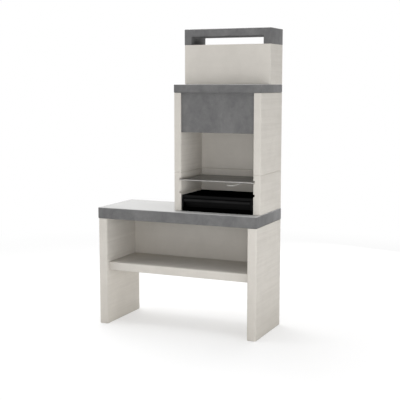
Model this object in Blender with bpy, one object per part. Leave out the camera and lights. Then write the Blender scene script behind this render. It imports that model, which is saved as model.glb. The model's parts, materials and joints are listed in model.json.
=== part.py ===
"""Prefabricated outdoor masonry barbecue with a steel fire box and a sliding wire grill.

Metres, +X to the cook's right, +Y to the back, +Z up. The origin is on the floor, in the
middle of the worktop's footprint.

The masonry is cast in flat slabs and U-shaped blocks that stack and are glued. The fire box
stands loose on the worktop between the cheeks of the hearth, and holds a charcoal grate and an
ash drawer. The grill slides in grooves that are cast into the cheeks.
"""

import math

import bmesh
import bpy
from mathutils import Vector

# Fits and cutters
BED_GAP = 0.0003  # between faces that rest on or butt against each other
HOUSING_SLACK = 0.001  # play of a slab end or a tongue in its housing
CUT_OVERRUN = 0.010  # how far a cutter runs past the face that it opens

# Base
WORKTOP_WIDTH = 1.200
WORKTOP_DEPTH = 0.488
WORKTOP_THICKNESS = 0.080
WORKTOP_HEIGHT = 0.843  # top face above the floor
WORKTOP_ARRIS = 0.006  # rounded top edges
SLAB_CHAMFER = 0.0025
LEG_THICKNESS = 0.066
LEG_END_INSET = 0.001
LEG_FRONT_ARRIS = 0.010
LEG_FOOT_ARRIS = 0.0045
LEG_HOUSING_DEPTH = 0.012
REAR_ARRIS = 0.005  # back corners of every pale block
SHELF_HEIGHT = 0.447  # top face above the floor
SHELF_THICKNESS = 0.058
SHELF_SETBACK = 0.035
SHELF_ARRIS = 0.004
BASE_BACK_THICKNESS = 0.063

# Hearth
HEARTH_WIDTH = 0.633
HEARTH_END_INSET = 0.001  # from the right-hand end of the worktop
HEARTH_SETBACK = 0.067  # from the front of the worktop
CHEEK_THICKNESS = 0.052
HEARTH_BACK_THICKNESS = 0.060
LOWER_BLOCK_HEIGHT = 0.267
UPPER_BLOCK_HEIGHT = 0.542
HEARTH_ARRIS = 0.009
CHEEK_INNER_ARRIS = 0.005
HEARTH_INNER_FILLET = 0.008
BED_CHAMFER = 0.0028  # the bed joint shows as a V
TONGUE_WIDTH = 0.016
TONGUE_HEIGHT = 0.006
TONGUE_SETBACK = 0.030
GROOVE_HEIGHT = 0.018
GROOVE_DEPTH = 0.011
TOP_GROOVE_FLOOR = 0.212  # above the worktop
GROOVE_PITCH = 0.0915
GROOVE_COUNT = 2

# Hood, mantel, chimney and cap
HOOD_PANEL_HEIGHT = 0.2685
HOOD_PANEL_THICKNESS = 0.040
HOOD_PANEL_SETBACK = 0.010
HOOD_HOUSING_DEPTH = 0.010
MANTEL_THICKNESS = 0.055
CHIMNEY_DEPTH = 0.2455
CHIMNEY_HEIGHT = 0.270
CHIMNEY_WALL = 0.045
CHIMNEY_ARRIS = 0.007
CAP_HEIGHT = 0.1075
CAP_BEAM_DEPTH = 0.051
CAP_LEG_WIDTH = 0.052

# Fire box
SHEET = 0.002
FIRE_BOX_SIDE_PLAY = 0.007
FIRE_BOX_SETBACK = 0.002  # front lip behind the fronts of the cheeks
FIRE_BOX_BACK_PLAY = 0.006
FIRE_BOX_HEIGHT = 0.111  # rim above the worktop
RIM_WIDTH = 0.012
FRONT_RIM_WIDTH = 0.028
FRONT_LIP_HEIGHT = 0.018
TUB_CLEARANCE = 0.025  # floor of the tub above the worktop
KICK_SETBACK = 0.001  # kick plate behind the front lip
POST_PLAY = 0.001  # between the posts and the drawer's opening
RUNNER_WIDTH = 0.040
ASH_SPACE_HEIGHT = 0.033
LEDGE_SHELF_WIDTH = 0.016
LEDGE_UPRIGHT_HEIGHT = 0.018
LEDGE_END_PLAY = 0.006

# Charcoal grate
GRATE_THICKNESS = 0.008
GRATE_PLAY = 0.0015
GRATE_BORDER = 0.016
GRATE_RIB = 0.014
GRATE_BAR = 0.009
GRATE_SLOT = 0.012
GRATE_SLOT_ROWS = 2

# Ash drawer
TRAY_HEIGHT = 0.030
TRAY_SIDE_PLAY = 0.002
TRAY_BACK_PLAY = 0.004
TRAY_SHEET = 0.0015
MOUTH_SIDE_PLAY = 0.001
DRAWER_FRONT_INSET = 0.002  # from the sides of the tub
DRAWER_ROLL_RADIUS = 0.0135
DRAWER_ROLL_TOP = 0.063  # above the underside of the tub
DRAWER_ROLL_END = math.radians(262)

# Grill
GRILL_WIRE = 0.003  # radius
GRILL_CROSS_WIRE = 0.0025
GRILL_ROD = 0.002
GRILL_HANDLE_WIRE = 0.0025
GRILL_GROOVE_REACH = 0.008  # side wire past the inner face of the cheek
GRILL_FRONT_OVERHANG = 0.008  # front wire ahead of the cheeks
GRILL_BACK_PLAY = 0.009
GRILL_CORNER_RADIUS = 0.012
GRILL_ROD_PITCH = 0.0175
GRILL_ROD_END = 0.002
GRILL_CROSS_SHARES = (0.33, 0.67)
HANDLE_WIDTH = 0.040  # of the pull
HANDLE_FLARE = 0.034  # each arm's foot outside the pull
HANDLE_REACH = 0.055
HANDLE_DROP = 0.0115
HANDLE_TAIL = 0.006
HANDLE_CORNER_RADIUS = 0.012
HANDLE_ELBOW_RADIUS = 0.010
HANDLE_PLACE_SHARE = 0.735  # along the grill from its left-hand wire

# Facets
ARRIS_STEPS = 4
FILLET_STEPS = 3
ROLL_STEPS = 16
WIRE_SIDES = 8
WIRE_BEVEL_RESOLUTION = 2  # 8 sides
SMOOTH_ANGLE = math.radians(35)

# Places that follow from the sizes
FRONT = -WORKTOP_DEPTH / 2
BACK = WORKTOP_DEPTH / 2
LEFT = -WORKTOP_WIDTH / 2
RIGHT = WORKTOP_WIDTH / 2
WORKTOP_UNDERSIDE = WORKTOP_HEIGHT - WORKTOP_THICKNESS
SHELF_UNDERSIDE = SHELF_HEIGHT - SHELF_THICKNESS
SHELF_FRONT = FRONT + SHELF_SETBACK
LEG_INNER_X = RIGHT - LEG_END_INSET - LEG_THICKNESS  # the left one mirrors it

HEARTH_RIGHT = RIGHT - HEARTH_END_INSET
HEARTH_LEFT = HEARTH_RIGHT - HEARTH_WIDTH
HEARTH_FRONT = FRONT + HEARTH_SETBACK
CHEEK_LEFT_X = HEARTH_LEFT + CHEEK_THICKNESS
CHEEK_RIGHT_X = HEARTH_RIGHT - CHEEK_THICKNESS
HEARTH_BACK_Y = BACK - HEARTH_BACK_THICKNESS
HEARTH_MIDDLE_X = (CHEEK_LEFT_X + CHEEK_RIGHT_X) / 2
BED_JOINT = WORKTOP_HEIGHT + LOWER_BLOCK_HEIGHT
MANTEL_UNDERSIDE = BED_JOINT + UPPER_BLOCK_HEIGHT
MANTEL_TOP = MANTEL_UNDERSIDE + MANTEL_THICKNESS
CHIMNEY_FRONT = BACK - CHIMNEY_DEPTH
CHIMNEY_TOP = MANTEL_TOP + CHIMNEY_HEIGHT
CAP_TOP = CHIMNEY_TOP + CAP_HEIGHT
HOOD_FRONT = HEARTH_FRONT + HOOD_PANEL_SETBACK
HOOD_BACK = HOOD_FRONT + HOOD_PANEL_THICKNESS
HOOD_UNDERSIDE = MANTEL_UNDERSIDE - HOOD_PANEL_HEIGHT
FLUE_LEFT = HEARTH_LEFT + CHIMNEY_WALL
FLUE_RIGHT = HEARTH_RIGHT - CHIMNEY_WALL
FLUE_FRONT = CHIMNEY_FRONT + CHIMNEY_WALL
FLUE_BACK = BACK - CHIMNEY_WALL

RIM_LEFT = CHEEK_LEFT_X + FIRE_BOX_SIDE_PLAY
RIM_RIGHT = CHEEK_RIGHT_X - FIRE_BOX_SIDE_PLAY
RIM_FRONT = HEARTH_FRONT + FIRE_BOX_SETBACK
RIM_BACK = HEARTH_BACK_Y - FIRE_BOX_BACK_PLAY
RIM_TOP = WORKTOP_HEIGHT + FIRE_BOX_HEIGHT
TUB_LEFT = RIM_LEFT + RIM_WIDTH
TUB_RIGHT = RIM_RIGHT - RIM_WIDTH
TUB_FRONT = RIM_FRONT + FRONT_RIM_WIDTH
TUB_BACK = RIM_BACK - RIM_WIDTH
TUB_UNDERSIDE = WORKTOP_HEIGHT + TUB_CLEARANCE
TUB_FLOOR = TUB_UNDERSIDE + SHEET
PLATE_FRONT = RIM_FRONT + SHEET + BED_GAP
SILL_LEFT = RIM_LEFT + SHEET + BED_GAP
SILL_RIGHT = RIM_RIGHT - SHEET - BED_GAP
KICK_BACK = RIM_FRONT + KICK_SETBACK + SHEET
LEDGE_UNDERSIDE = TUB_FLOOR + ASH_SPACE_HEIGHT
LEDGE_TOP = LEDGE_UNDERSIDE + SHEET
TRAY_LEFT = TUB_LEFT + SHEET + TRAY_SIDE_PLAY
TRAY_RIGHT = TUB_RIGHT - SHEET - TRAY_SIDE_PLAY
TRAY_BACK = TUB_BACK - SHEET - TRAY_BACK_PLAY
PANEL_BACK = TUB_FRONT - BED_GAP

GROOVE_FLOORS = [
    WORKTOP_HEIGHT + TOP_GROOVE_FLOOR - level * GROOVE_PITCH for level in range(GROOVE_COUNT)
]
GRILL_LEFT = CHEEK_LEFT_X - GRILL_GROOVE_REACH + GRILL_WIRE
GRILL_RIGHT = CHEEK_RIGHT_X + GRILL_GROOVE_REACH - GRILL_WIRE
GRILL_FRONT = HEARTH_FRONT - GRILL_FRONT_OVERHANG
GRILL_BACK = HEARTH_BACK_Y - GRILL_BACK_PLAY
GRILL_Z = GROOVE_FLOORS[0] + BED_GAP + GRILL_WIRE


def clear_scene():
    for obj in list(bpy.data.objects):
        bpy.data.objects.remove(obj, do_unlink=True)


def make_material(name, colour, roughness, metallic):
    material = bpy.data.materials.new(name)
    material.use_nodes = True
    shader = material.node_tree.nodes["Principled BSDF"]
    shader.inputs["Base Color"].default_value = (*colour, 1)
    shader.inputs["Roughness"].default_value = roughness
    shader.inputs["Metallic"].default_value = metallic
    material.diffuse_color = (*colour, 1)
    return material


def make_empty(name, place, parent=None):
    """An empty on a joint's axis. What moves with the joint hangs under it."""
    empty = bpy.data.objects.new(name, None)
    bpy.context.collection.objects.link(empty)
    empty.location = place - (world_place(parent) if parent else Vector())
    empty.parent = parent
    return empty


def world_place(obj):
    place = obj.location.copy()
    while obj.parent:
        obj = obj.parent
        place += obj.location
    return place


def add_mesh(name, bm, material, parent=None):
    """One node: its mesh is built in world places and hung under the parent at the origin."""
    mesh = bpy.data.meshes.new(name)
    bm.to_mesh(mesh)
    bm.free()
    mesh.materials.append(material)
    mesh.shade_smooth()
    mesh.set_sharp_from_angle(angle=SMOOTH_ANGLE)
    obj = bpy.data.objects.new(name, mesh)
    bpy.context.collection.objects.link(obj)
    if parent:
        obj.parent = parent
        obj.location = -world_place(parent)
    return obj


def add_wire(name, points, radius, material, parent, closed=False):
    """A bent wire: a poly curve with a round section and filled ends."""
    curve = bpy.data.curves.new(name, "CURVE")
    curve.dimensions = "3D"
    curve.bevel_depth = radius
    curve.bevel_resolution = WIRE_BEVEL_RESOLUTION
    curve.render_resolution_u = 0
    curve.use_fill_caps = True
    spline = curve.splines.new("POLY")
    spline.points.add(len(points) - 1)
    for point, place in zip(spline.points, points):
        point.co = (*place, 1)
    spline.use_cyclic_u = closed
    spline.use_smooth = True
    curve.materials.append(material)
    obj = bpy.data.objects.new(name, curve)
    bpy.context.collection.objects.link(obj)
    obj.parent = parent
    obj.location = -world_place(parent)
    return obj


def cut(obj, name, bm, operation="DIFFERENCE"):
    """A live Boolean with a hidden helper, which is placed like the object that it shapes."""
    mesh = bpy.data.meshes.new(name)
    bm.to_mesh(mesh)
    bm.free()
    helper = bpy.data.objects.new(name, mesh)
    bpy.context.collection.objects.link(helper)
    helper.parent = obj.parent
    helper.location = obj.location
    helper.hide_render = True
    helper.display_type = "WIRE"
    modifier = obj.modifiers.new(name, "BOOLEAN")
    modifier.operation = operation
    modifier.solver = "EXACT"
    modifier.object = helper


def arc_round(before, corner, after, radius, steps):
    """The points that round one corner of a flat outline or of a bent wire."""
    back = (before - corner).normalized()
    ahead = (after - corner).normalized()
    half = back.angle(ahead) / 2
    centre = corner + (back + ahead).normalized() * (radius / math.sin(half))
    start = corner + back * (radius / math.tan(half)) - centre
    end = corner + ahead * (radius / math.tan(half)) - centre
    turn = start.angle(end)
    points = []
    for step in range(steps + 1):
        share = step / steps
        blend = start * math.sin((1 - share) * turn) + end * math.sin(share * turn)
        points.append(centre + blend / math.sin(turn))
    return points


def rounded(corners, steps, closed=True):
    """Turns corners, each a place and a radius, into an outline or a wire's route."""
    points = []
    for index, (place, radius) in enumerate(corners):
        corner = Vector(place)
        at_end = not closed and index in (0, len(corners) - 1)
        if radius == 0 or at_end:
            points.append(corner)
            continue
        before = Vector(corners[index - 1][0])
        after = Vector(corners[(index + 1) % len(corners)][0])
        points += arc_round(before, corner, after, radius, steps)
    return points


def rectangle(left, right, front, back, front_radius=0, back_radius=0):
    corners = [
        ((left, front), front_radius),
        ((right, front), front_radius),
        ((right, back), back_radius),
        ((left, back), back_radius),
    ]
    return rounded(corners, ARRIS_STEPS)


def prism(outline, low, high, axis="Z"):
    """Pushes a flat outline along an axis, as a bar, slab or block with square ends."""

    def place(first, second, along):
        if axis == "X":
            return (along, first, second)
        if axis == "Y":
            return (first, along, second)
        return (first, second, along)

    bm = bmesh.new()
    face = bm.faces.new([bm.verts.new(place(first, second, low)) for first, second in outline])
    grown = bmesh.ops.extrude_face_region(bm, geom=[face])["geom"]
    ends = [item for item in grown if isinstance(item, bmesh.types.BMVert)]
    bmesh.ops.translate(bm, vec=place(0, 0, high - low), verts=ends)
    bmesh.ops.recalc_face_normals(bm, faces=bm.faces)
    return bm


def block(left, right, front, back, low, high):
    return prism([(left, front), (right, front), (right, back), (left, back)], low, high)


def join(target, other):
    """Adds the closed shapes of one bmesh to another, for a cutter of several parts."""
    mesh = bpy.data.meshes.new("joined")
    other.to_mesh(mesh)
    other.free()
    target.from_mesh(mesh)
    bpy.data.meshes.remove(mesh)


def soften(bm, level, width, segments, axis=2):
    """Bevels the edges that lie at one level of an axis, such as a slab's top or foot."""
    near = width / 100
    edges = [
        edge
        for edge in bm.edges
        if all(abs(vert.co[axis] - level) < near for vert in edge.verts)
        and len(edge.link_faces) == 2
        and edge.calc_face_angle() > SMOOTH_ANGLE
    ]
    bmesh.ops.bevel(
        bm, geom=edges, offset=width, segments=segments, profile=0.5, affect="EDGES", clamp_overlap=True
    )


def slab(left, right, front, back, low, high):
    """A crisp cast slab: every edge has the same small chamfer."""
    bm = block(left, right, front, back, low, high)
    bmesh.ops.bevel(bm, geom=list(bm.edges), offset=SLAB_CHAMFER, segments=1, affect="EDGES")
    return bm


def lattice(xs, ys, is_open, low, high):
    """A plate on a grid of lines, left open where is_open(column, row) says so."""
    bm = bmesh.new()
    grid = [[bm.verts.new((x, y, low)) for y in ys] for x in xs]
    faces = []
    for column in range(len(xs) - 1):
        for row in range(len(ys) - 1):
            if is_open(column, row):
                continue
            near, far = grid[column], grid[column + 1]
            faces.append(bm.faces.new([near[row], far[row], far[row + 1], near[row + 1]]))
    grown = bmesh.ops.extrude_face_region(bm, geom=faces)["geom"]
    ends = [item for item in grown if isinstance(item, bmesh.types.BMVert)]
    bmesh.ops.translate(bm, vec=(0, 0, high - low), verts=ends)
    bmesh.ops.recalc_face_normals(bm, faces=bm.faces)
    return bm


def make_leg(name, side, material):
    """A leg panel. side is -1 for the left one and 1 for the right one."""
    inner = side * LEG_INNER_X
    outer = side * (LEG_INNER_X + LEG_THICKNESS)
    outline = rectangle(
        min(inner, outer), max(inner, outer), FRONT, BACK, LEG_FRONT_ARRIS, REAR_ARRIS
    )
    bm = prism(outline, 0, WORKTOP_UNDERSIDE - BED_GAP)
    soften(bm, 0, LEG_FOOT_ARRIS, FILLET_STEPS)
    leg = add_mesh(name, bm, material)
    bottom = inner + side * LEG_HOUSING_DEPTH
    mouth = inner - side * CUT_OVERRUN
    housing = block(
        min(bottom, mouth),
        max(bottom, mouth),
        SHELF_FRONT - HOUSING_SLACK,
        BACK + CUT_OVERRUN,
        SHELF_UNDERSIDE - BED_GAP,
        SHELF_HEIGHT + HOUSING_SLACK,
    )
    cut(leg, name + "_shelf_housing", housing)
    rebate = block(
        min(bottom, mouth),
        max(bottom, mouth),
        BACK - BASE_BACK_THICKNESS - HOUSING_SLACK,
        BACK + CUT_OVERRUN,
        SHELF_HEIGHT,
        WORKTOP_UNDERSIDE + CUT_OVERRUN,
    )
    cut(leg, name + "_panel_rebate", rebate)
    return leg


def make_shelf(material):
    """The shelf is slid in from behind until it meets the ends of its housings."""
    half = LEG_INNER_X + LEG_HOUSING_DEPTH - BED_GAP
    bm = block(-half, half, SHELF_FRONT, BACK, SHELF_UNDERSIDE, SHELF_HEIGHT)
    edges = [
        edge
        for edge in bm.edges
        if all(abs(vert.co.y - SHELF_FRONT) < SHELF_ARRIS / 2 for vert in edge.verts)
        and abs(edge.verts[0].co.z - edge.verts[1].co.z) < SHELF_ARRIS
    ]
    bmesh.ops.bevel(
        bm, geom=edges, offset=SHELF_ARRIS, segments=FILLET_STEPS, profile=0.5, affect="EDGES"
    )
    return add_mesh("shelf", bm, material)


def make_base_back_panel(material):
    half = LEG_INNER_X + LEG_HOUSING_DEPTH - BED_GAP
    bm = block(
        -half,
        half,
        BACK - BASE_BACK_THICKNESS,
        BACK,
        SHELF_HEIGHT + BED_GAP,
        WORKTOP_UNDERSIDE - BED_GAP,
    )
    return add_mesh("base_back_panel", bm, material)


def make_worktop(material):
    bm = block(LEFT, RIGHT, FRONT, BACK, WORKTOP_UNDERSIDE, WORKTOP_HEIGHT)
    upper = [edge for edge in bm.edges if edge.verts[0].co.z + edge.verts[1].co.z > 2 * WORKTOP_UNDERSIDE]
    top = [edge for edge in upper if abs(edge.verts[0].co.z - edge.verts[1].co.z) < WORKTOP_ARRIS]
    bmesh.ops.bevel(
        bm, geom=top, offset=WORKTOP_ARRIS, segments=FILLET_STEPS, profile=0.5, affect="EDGES"
    )
    return add_mesh("worktop", bm, material)


def u_outline(left, right, front, back, cheek, rear, radii):
    """A U that opens to the front. radii are those of the outer front, the inner front, the
    inner back and the outer back corners."""
    outer_front, inner_front, inner_back, outer_back = radii
    corners = [
        ((left, front), outer_front),
        ((left + cheek, front), inner_front),
        ((left + cheek, back - rear), inner_back),
        ((right - cheek, back - rear), inner_back),
        ((right - cheek, front), inner_front),
        ((right, front), outer_front),
        ((right, back), outer_back),
        ((left, back), outer_back),
    ]
    return rounded(corners, ARRIS_STEPS)


def hearth_block(low, high):
    radii = (HEARTH_ARRIS, CHEEK_INNER_ARRIS, HEARTH_INNER_FILLET, REAR_ARRIS)
    outline = u_outline(
        HEARTH_LEFT, HEARTH_RIGHT, HEARTH_FRONT, BACK, CHEEK_THICKNESS, HEARTH_BACK_THICKNESS, radii
    )
    bm = prism(outline, low, high)
    soften(bm, low, BED_CHAMFER, 1)
    soften(bm, high, BED_CHAMFER, 1)
    return bm


def hearth_tongue(low, high, slack):
    """The U-shaped rib in the bed joint, or with slack the recess that it fits."""
    side = (CHEEK_THICKNESS - TONGUE_WIDTH) / 2 - slack
    rear = (HEARTH_BACK_THICKNESS - TONGUE_WIDTH) / 2 - slack
    width = TONGUE_WIDTH + 2 * slack
    outline = u_outline(
        HEARTH_LEFT + side,
        HEARTH_RIGHT - side,
        HEARTH_FRONT + TONGUE_SETBACK - slack,
        BACK - rear,
        width,
        width,
        (0, 0, 0, 0),
    )
    return prism(outline, low, high)


def groove_cutter(floor):
    """A pair of grill grooves at one level, open to the front and stopped by the back wall."""
    front = HEARTH_FRONT - CUT_OVERRUN
    ceiling = floor + GROOVE_HEIGHT
    pair = block(
        CHEEK_LEFT_X - GROOVE_DEPTH, CHEEK_LEFT_X + CUT_OVERRUN, front, HEARTH_BACK_Y, floor, ceiling
    )
    right = block(
        CHEEK_RIGHT_X - CUT_OVERRUN, CHEEK_RIGHT_X + GROOVE_DEPTH, front, HEARTH_BACK_Y, floor, ceiling
    )
    join(pair, right)
    return pair


def make_hearth_lower_block(material):
    top = BED_JOINT - BED_GAP
    bm = hearth_block(WORKTOP_HEIGHT + BED_GAP, top)
    obj = add_mesh("hearth_lower_block", bm, material)
    tongue = hearth_tongue(top - TONGUE_HEIGHT, top + TONGUE_HEIGHT, 0)
    cut(obj, "lower_block_tongue", tongue, "UNION")
    for level, floor in enumerate(GROOVE_FLOORS):
        cut(obj, f"grill_grooves_{level + 1}", groove_cutter(floor))
    return obj


def make_hearth_upper_block(material):
    bm = hearth_block(BED_JOINT, MANTEL_UNDERSIDE - BED_GAP)
    obj = add_mesh("hearth_upper_block", bm, material)
    recess = hearth_tongue(BED_JOINT - CUT_OVERRUN, BED_JOINT + TONGUE_HEIGHT + HOUSING_SLACK, HOUSING_SLACK)
    cut(obj, "upper_block_recess", recess)
    housings = block(
        CHEEK_LEFT_X - HOOD_HOUSING_DEPTH,
        CHEEK_RIGHT_X + HOOD_HOUSING_DEPTH,
        HOOD_FRONT - BED_GAP,
        HOOD_BACK + HOUSING_SLACK,
        HOOD_UNDERSIDE - BED_GAP,
        MANTEL_UNDERSIDE + CUT_OVERRUN,
    )
    cut(obj, "hood_panel_housings", housings)
    return obj


def make_hood_front_panel(material):
    """The hood's front slab is let down into the cheeks before the mantel goes on."""
    reach = HOOD_HOUSING_DEPTH - BED_GAP
    bm = slab(
        CHEEK_LEFT_X - reach,
        CHEEK_RIGHT_X + reach,
        HOOD_FRONT,
        HOOD_BACK,
        HOOD_UNDERSIDE,
        MANTEL_UNDERSIDE - BED_GAP,
    )
    return add_mesh("hood_front_panel", bm, material)


def make_mantel_slab(material):
    bm = slab(HEARTH_LEFT, HEARTH_RIGHT, HEARTH_FRONT, BACK, MANTEL_UNDERSIDE, MANTEL_TOP)
    obj = add_mesh("mantel_slab", bm, material)
    opening = block(
        FLUE_LEFT,
        FLUE_RIGHT,
        FLUE_FRONT,
        min(FLUE_BACK, HEARTH_BACK_Y),
        MANTEL_UNDERSIDE - CUT_OVERRUN,
        MANTEL_TOP + CUT_OVERRUN,
    )
    cut(obj, "flue_opening", opening)
    return obj


def make_chimney_hood(material):
    outline = rectangle(HEARTH_LEFT, HEARTH_RIGHT, CHIMNEY_FRONT, BACK, CHIMNEY_ARRIS, REAR_ARRIS)
    bottom = MANTEL_TOP + BED_GAP
    bm = prism(outline, bottom, CHIMNEY_TOP)
    soften(bm, bottom, BED_CHAMFER, 1)
    obj = add_mesh("chimney_hood", bm, material)
    flue = block(
        FLUE_LEFT, FLUE_RIGHT, FLUE_FRONT, FLUE_BACK, MANTEL_TOP - CUT_OVERRUN, CHIMNEY_TOP + CUT_OVERRUN
    )
    cut(obj, "chimney_flue", flue)
    return obj


def make_chimney_cap(material):
    """The cap is an arch of square section, so smoke leaves at the front and the back."""
    foot = CHIMNEY_TOP + BED_GAP
    soffit = CAP_TOP - CAP_BEAM_DEPTH
    outline = [
        (HEARTH_LEFT, foot),
        (HEARTH_LEFT + CAP_LEG_WIDTH, foot),
        (HEARTH_LEFT + CAP_LEG_WIDTH, soffit),
        (HEARTH_RIGHT - CAP_LEG_WIDTH, soffit),
        (HEARTH_RIGHT - CAP_LEG_WIDTH, foot),
        (HEARTH_RIGHT, foot),
        (HEARTH_RIGHT, CAP_TOP),
        (HEARTH_LEFT, CAP_TOP),
    ]
    bm = prism(outline, CHIMNEY_FRONT, BACK, "Y")
    bmesh.ops.bevel(bm, geom=list(bm.edges), offset=SLAB_CHAMFER, segments=1, affect="EDGES")
    return add_mesh("chimney_cap", bm, material)


def add_sheet(name, faces, thickness, material, parent):
    """Folded sheet steel. The faces are the outside of the folds, and the metal lies within."""
    bm = bmesh.new()
    corners = {}
    for face in faces:
        for place in face:
            key = tuple(round(value / BED_GAP) for value in place)
            if key not in corners:
                corners[key] = bm.verts.new(place)
    for face in faces:
        bm.faces.new([corners[tuple(round(value / BED_GAP) for value in place)] for place in face])
    obj = add_mesh(name, bm, material, parent)
    solidify = obj.modifiers.new("sheet", "SOLIDIFY")
    solidify.thickness = thickness
    solidify.offset = -1
    solidify.solidify_mode = "NON_MANIFOLD"
    solidify.nonmanifold_thickness_mode = "CONSTRAINTS"
    return obj


def wall(left, right, low, high, y=None, x=None, flip=False):
    """One upright face: across the box where y is given, front to back where x is given."""
    if y is not None:
        face = [(left, y, low), (right, y, low), (right, y, high), (left, y, high)]
    else:
        face = [(x, left, low), (x, right, low), (x, right, high), (x, left, high)]
    return face[::-1] if flip else face


def level_face(left, right, front, back, z):
    """One flat face that looks down."""
    return [(left, front, z), (left, back, z), (right, back, z), (right, front, z)]


def make_fire_box_tub(material, parent):
    """The tub: a floor, four walls, a drawer mouth in the front, a rim with a front lip, and a
    sill that runs out under the drawer's front and folds down into a kick plate."""
    mouth_left = TRAY_LEFT - MOUTH_SIDE_PLAY
    mouth_right = TRAY_RIGHT + MOUTH_SIDE_PLAY
    rim_under = RIM_TOP - SHEET
    lip_y = RIM_FRONT + SHEET
    lip_foot = RIM_TOP - FRONT_LIP_HEIGHT
    kick_foot = WORKTOP_HEIGHT + BED_GAP
    columns = [TUB_LEFT, mouth_left, mouth_right, TUB_RIGHT]
    faces = []
    for left, right in zip(columns, columns[1:]):
        faces.append(level_face(left, right, TUB_FRONT, TUB_BACK, TUB_UNDERSIDE))
        faces.append(wall(left, right, TUB_UNDERSIDE, LEDGE_UNDERSIDE, y=TUB_BACK, flip=True))
        faces.append(wall(left, right, LEDGE_UNDERSIDE, rim_under, y=TUB_BACK, flip=True))
        faces.append(wall(left, right, LEDGE_UNDERSIDE, rim_under, y=TUB_FRONT))
        if left != mouth_left:
            faces.append(wall(left, right, TUB_UNDERSIDE, LEDGE_UNDERSIDE, y=TUB_FRONT))
        faces.append(level_face(left, right, TUB_BACK, RIM_BACK, rim_under))
    for x, flip in ((TUB_LEFT, True), (TUB_RIGHT, False)):
        faces.append(wall(TUB_FRONT, TUB_BACK, TUB_UNDERSIDE, LEDGE_UNDERSIDE, x=x, flip=flip))
        faces.append(wall(TUB_FRONT, TUB_BACK, LEDGE_UNDERSIDE, rim_under, x=x, flip=flip))
    for left, right in ((RIM_LEFT, TUB_LEFT), (TUB_RIGHT, RIM_RIGHT)):
        for front, back in ((TUB_FRONT, TUB_BACK), (TUB_BACK, RIM_BACK)):
            faces.append(level_face(left, right, front, back, rim_under))
    rim_columns = [RIM_LEFT, *columns, RIM_RIGHT]
    for left, right in zip(rim_columns, rim_columns[1:]):
        faces.append(level_face(left, right, lip_y, TUB_FRONT, rim_under))
        faces.append(wall(left, right, lip_foot, rim_under, y=lip_y, flip=True))
    sill_columns = [SILL_LEFT, *columns, SILL_RIGHT]
    for left, right in zip(sill_columns, sill_columns[1:]):
        faces.append(level_face(left, right, KICK_BACK, TUB_FRONT, TUB_UNDERSIDE))
        faces.append(wall(left, right, kick_foot, TUB_UNDERSIDE, y=KICK_BACK, flip=True))
    return add_sheet("fire_box_tub", faces, SHEET, material, parent)


def make_runner(name, side, material, parent):
    """A side plate from the worktop to the rim. Its front is folded in as a post, and a channel
    on its inside carries the tub and slides on the worktop."""
    outer = RIM_RIGHT if side > 0 else RIM_LEFT
    edge = TUB_RIGHT + POST_PLAY if side > 0 else TUB_LEFT - POST_PLAY

    def across(near, far):
        """Left and right of a strip between two distances inward from the plate's outside."""
        return sorted((outer - side * near, outer - side * far))

    foot = WORKTOP_HEIGHT + BED_GAP
    head = RIM_TOP - SHEET - BED_GAP
    back = RIM_BACK - SHEET
    plate = block(*across(0, SHEET), PLATE_FRONT, back, foot, head)
    obj = add_mesh(name, plate, material, parent)
    middle = SHEET / 2
    post = block(
        *across(middle, abs(outer - edge)), PLATE_FRONT, PLATE_FRONT + SHEET, TUB_FLOOR + BED_GAP, head
    )
    cut(obj, name + "_post", post, "UNION")
    inner = outer - side * RUNNER_WIDTH
    top = TUB_UNDERSIDE - BED_GAP
    outline = [
        (outer - side * middle, top),
        (inner, top),
        (inner, foot),
        (inner + side * SHEET, foot),
        (inner + side * SHEET, top - SHEET),
        (outer - side * middle, top - SHEET),
    ]
    channel = prism(outline, KICK_BACK + POST_PLAY, back - POST_PLAY, "Y")
    cut(obj, name + "_channel", channel, "UNION")
    return obj


def make_ledge(name, side, material, parent):
    """An angle on the tub's side wall that carries one edge of the charcoal grate."""
    face = TUB_RIGHT - SHEET - BED_GAP if side > 0 else TUB_LEFT + SHEET + BED_GAP
    upright = face - side * SHEET
    tip = face - side * LEDGE_SHELF_WIDTH
    outline = [
        (face, LEDGE_UNDERSIDE),
        (tip, LEDGE_UNDERSIDE),
        (tip, LEDGE_TOP),
        (upright, LEDGE_TOP),
        (upright, LEDGE_TOP + LEDGE_UPRIGHT_HEIGHT),
        (face, LEDGE_TOP + LEDGE_UPRIGHT_HEIGHT),
    ]
    front = TUB_FRONT + SHEET + LEDGE_END_PLAY
    back = TUB_BACK - SHEET - LEDGE_END_PLAY
    bm = prism(outline, front, back, "Y")
    return add_mesh(name, bm, material, parent)


def slot_lines(low, high, border, bar, slot):
    """Lines across the grate: a border, then slots with bars between them, then a border."""
    count = int((high - low - 2 * border + bar) / (slot + bar))
    step = (high - low - 2 * border + bar) / count
    lines = [low]
    for index in range(count):
        start = low + border + index * step
        lines += [start, start + step - bar]
    return lines + [high]


def make_charcoal_grate(material, parent):
    inset = SHEET + BED_GAP + SHEET + GRATE_PLAY
    xs = slot_lines(TUB_LEFT + inset, TUB_RIGHT - inset, GRATE_BORDER, GRATE_BAR, GRATE_SLOT)
    front = TUB_FRONT + SHEET + GRATE_PLAY
    back = TUB_BACK - SHEET - GRATE_PLAY
    span = (back - front - 2 * GRATE_BORDER - (GRATE_SLOT_ROWS - 1) * GRATE_RIB) / GRATE_SLOT_ROWS
    ys = slot_lines(front, back, GRATE_BORDER, GRATE_RIB, span)
    low = LEDGE_TOP + BED_GAP
    bm = lattice(xs, ys, lambda column, row: column % 2 and row % 2, low, low + GRATE_THICKNESS)
    return add_mesh("charcoal_grate", bm, material, parent)


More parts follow.
